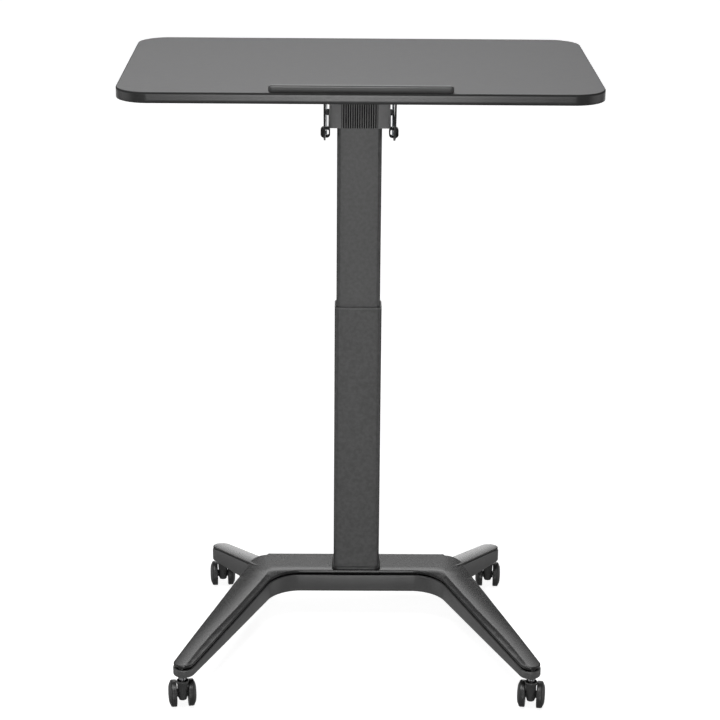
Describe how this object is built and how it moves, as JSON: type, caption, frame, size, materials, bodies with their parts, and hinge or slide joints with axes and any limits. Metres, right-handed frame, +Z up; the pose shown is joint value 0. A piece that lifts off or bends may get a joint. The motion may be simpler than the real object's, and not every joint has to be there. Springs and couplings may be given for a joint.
{
  "type": "rolling lectern podium",
  "caption": "Height-adjustable rolling lectern: a tilting desktop with a stop bar on a gas-lift column over a low splayed base with twin-wheel casters.",
  "frame": {"origin": "on the floor under the middle of the whole outline; the column's centre line stands 66.45 mm behind it", "axes": "+Z up, -Y towards the reader (the stop-bar side), +X to the reader's right"},
  "size_m": [0.8, 0.6328, 1.057],
  "materials": {
    "desk_laminate": "matt grained black laminate on fibreboard",
    "edge_trim": "satin",
    "stop_coat": "satin powder coat",
    "bracket_coat": "satin powder coat",
    "head_plastic": "satin",
    "rib_plastic": "matt",
    "latch_plastic": "satin",
    "zinc_strip": "zinc plated",
    "bright_steel": "bright",
    "fastener_black": "black oxide",
    "column_coat": "satin powder coat",
    "glide_plastic": "natural acetal",
    "collar_plastic": "satin",
    "spring_coat": "gloss black",
    "raw_steel": "plain",
    "base_coat": "satin powder coat",
    "cover_plastic": "satin",
    "cable_sheath": "satin",
    "caster_plastic": "satin",
    "wheel_plastic": "satin with a smooth tread"
  },
  "bodies": {
    "base": {"outer_column": "column_coat", "top_collar": "collar_plastic", "gas_cylinder": "spring_coat", "cylinder_gland": "raw_steel", "foot_plate": "raw_steel", "foot_bolts": "raw_steel", "foot_band": "latch_plastic", "base_cover": "cover_plastic", "base_frame": "base_coat", "stem_sockets": "latch_plastic"},
    "lift": {"inner_column": "column_coat", "glide_shoe": "glide_plastic", "head_shell": "head_plastic", "rib_panel": "rib_plastic", "head_side_screws": "fastener_black", "head_plate": "raw_steel", "tilt_yoke": "bracket_coat", "head_fasteners": "raw_steel", "hinge_pin": "raw_steel", "rest_block": "cable_sheath", "latch_housing_left": "latch_plastic", "latch_housing_right": "latch_plastic", "latch_pins": "fastener_black", "gas_rod": "bright_steel", "gas_piston": "raw_steel", "cable_in_head": "cable_sheath"},
    "top": {"desktop_board": "desk_laminate", "edge_band": "edge_trim", "stop_bar": "stop_coat", "tilt_frame": "bracket_coat", "quadrant_left": "bracket_coat", "quadrant_right": "bracket_coat", "lever_bracket": "bracket_coat", "lever_pin": "raw_steel", "top_fasteners": "fastener_black", "cable_under_top": "cable_sheath", "cable_clips": "latch_plastic"},
    "brake_left": {"brake_lever_left": "zinc_strip"},
    "brake_right": {"brake_lever_right": "zinc_strip"},
    "hand_lever": {"release_lever": "latch_plastic"},
    "rocker": {"release_rocker": "raw_steel"},
    "valve_pin": {"release_pin": "raw_steel"},
    "swivel_fl": {"caster_fl": "caster_plastic", "stem_fl": "bright_steel"},
    "roll_fl_left": {"wheel_fl_left": "wheel_plastic"},
    "roll_fl_right": {"wheel_fl_right": "wheel_plastic"},
    "swivel_fr": {"caster_fr": "caster_plastic", "stem_fr": "bright_steel"},
    "roll_fr_left": {"wheel_fr_left": "wheel_plastic"},
    "roll_fr_right": {"wheel_fr_right": "wheel_plastic"},
    "swivel_rl": {"caster_rl": "caster_plastic", "stem_rl": "bright_steel"},
    "roll_rl_left": {"wheel_rl_left": "wheel_plastic"},
    "roll_rl_right": {"wheel_rl_right": "wheel_plastic"},
    "swivel_rr": {"caster_rr": "caster_plastic", "stem_rr": "bright_steel"},
    "roll_rr_left": {"wheel_rr_left": "wheel_plastic"},
    "roll_rr_right": {"wheel_rr_right": "wheel_plastic"}
  },
  "joints": [
    {"name": "column_lift", "type": "slide", "parent": "base", "child": "lift", "axis": [0, 0, 1], "range_m": [-0.32, 0]},
    {"name": "desk_tilt", "type": "hinge", "parent": "lift", "child": "top", "pos_m": [0, 0.07145, 1.01], "axis": [1, 0, 0], "range_deg": [0, 35]},
    {"name": "brake_left_pivot", "type": "hinge", "parent": "lift", "child": "brake_left", "pos_m": [-0.0553, 0.05245, 0.964], "axis": [0, -1, 0], "range_deg": [0, 3.5], "stiffness_Nm_per_rad": 0.4, "springref_deg": -8.59},
    {"name": "brake_right_pivot", "type": "hinge", "parent": "lift", "child": "brake_right", "pos_m": [0.0553, 0.05245, 0.964], "axis": [0, 1, 0], "range_deg": [0, 3.5], "stiffness_Nm_per_rad": 0.4, "springref_deg": -8.59},
    {"name": "hand_lever_pivot", "type": "hinge", "parent": "top", "child": "hand_lever", "pos_m": [0.268, -0.03355, 1.016], "axis": [0, -1, 0], "range_deg": [0, 6], "stiffness_Nm_per_rad": 2, "springref_deg": -11.46},
    {"name": "rocker_pivot", "type": "hinge", "parent": "lift", "child": "rocker", "pos_m": [0.02, 0.07145, 0.975], "axis": [0, -1, 0], "range_deg": [0, 6]},
    {"name": "valve_slide", "type": "slide", "parent": "lift", "child": "valve_pin", "axis": [0, 0, -1], "range_m": [0, 0.0026]},
    {"name": "swivel_fl", "type": "hinge", "parent": "base", "child": "swivel_fl", "pos_m": [-0.298, -0.30255, 0.06], "axis": [0, 0, 1], "continuous": true},
    {"name": "roll_fl_left", "type": "hinge", "parent": "swivel_fl", "child": "roll_fl_left", "pos_m": [-0.3156, -0.29305, 0.0235], "axis": [0.989, 0.1478, 0], "continuous": true},
    {"name": "roll_fl_right", "type": "hinge", "parent": "swivel_fl", "child": "roll_fl_right", "pos_m": [-0.28395, -0.28832, 0.0235], "axis": [0.989, 0.1478, 0], "continuous": true},
    {"name": "swivel_fr", "type": "hinge", "parent": "base", "child": "swivel_fr", "pos_m": [0.298, -0.30255, 0.06], "axis": [0, 0, 1], "continuous": true},
    {"name": "roll_fr_left", "type": "hinge", "parent": "swivel_fr", "child": "roll_fr_left", "pos_m": [0.28395, -0.28832, 0.0235], "axis": [0.989, -0.1478, 0], "continuous": true},
    {"name": "roll_fr_right", "type": "hinge", "parent": "swivel_fr", "child": "roll_fr_right", "pos_m": [0.3156, -0.29305, 0.0235], "axis": [0.989, -0.1478, 0], "continuous": true},
    {"name": "swivel_rl", "type": "hinge", "parent": "base", "child": "swivel_rl", "pos_m": [-0.256, 0.18545, 0.06], "axis": [0, 0, 1], "continuous": true},
    {"name": "roll_rl_left", "type": "hinge", "parent": "swivel_rl", "child": "roll_rl_left", "pos_m": [-0.27298, 0.19601, 0.0235], "axis": [0.9962, 0.0872, 0], "continuous": true},
    {"name": "roll_rl_right", "type": "hinge", "parent": "swivel_rl", "child": "roll_rl_right", "pos_m": [-0.24111, 0.1988, 0.0235], "axis": [0.9962, 0.0872, 0], "continuous": true},
    {"name": "swivel_rr", "type": "hinge", "parent": "base", "child": "swivel_rr", "pos_m": [0.256, 0.18545, 0.06], "axis": [0, 0, 1], "continuous": true},
    {"name": "roll_rr_left", "type": "hinge", "parent": "swivel_rr", "child": "roll_rr_left", "pos_m": [0.24111, 0.1988, 0.0235], "axis": [0.9962, -0.0872, 0], "continuous": true},
    {"name": "roll_rr_right", "type": "hinge", "parent": "swivel_rr", "child": "roll_rr_right", "pos_m": [0.27298, 0.19601, 0.0235], "axis": [0.9962, -0.0872, 0], "continuous": true}
  ],
  "couplings": [
    {"joint": "rocker_pivot", "follows": "hand_lever_pivot", "ratio": 1},
    {"joint": "valve_slide", "follows": "hand_lever_pivot", "m_per_rad": 0.024}
  ]
}
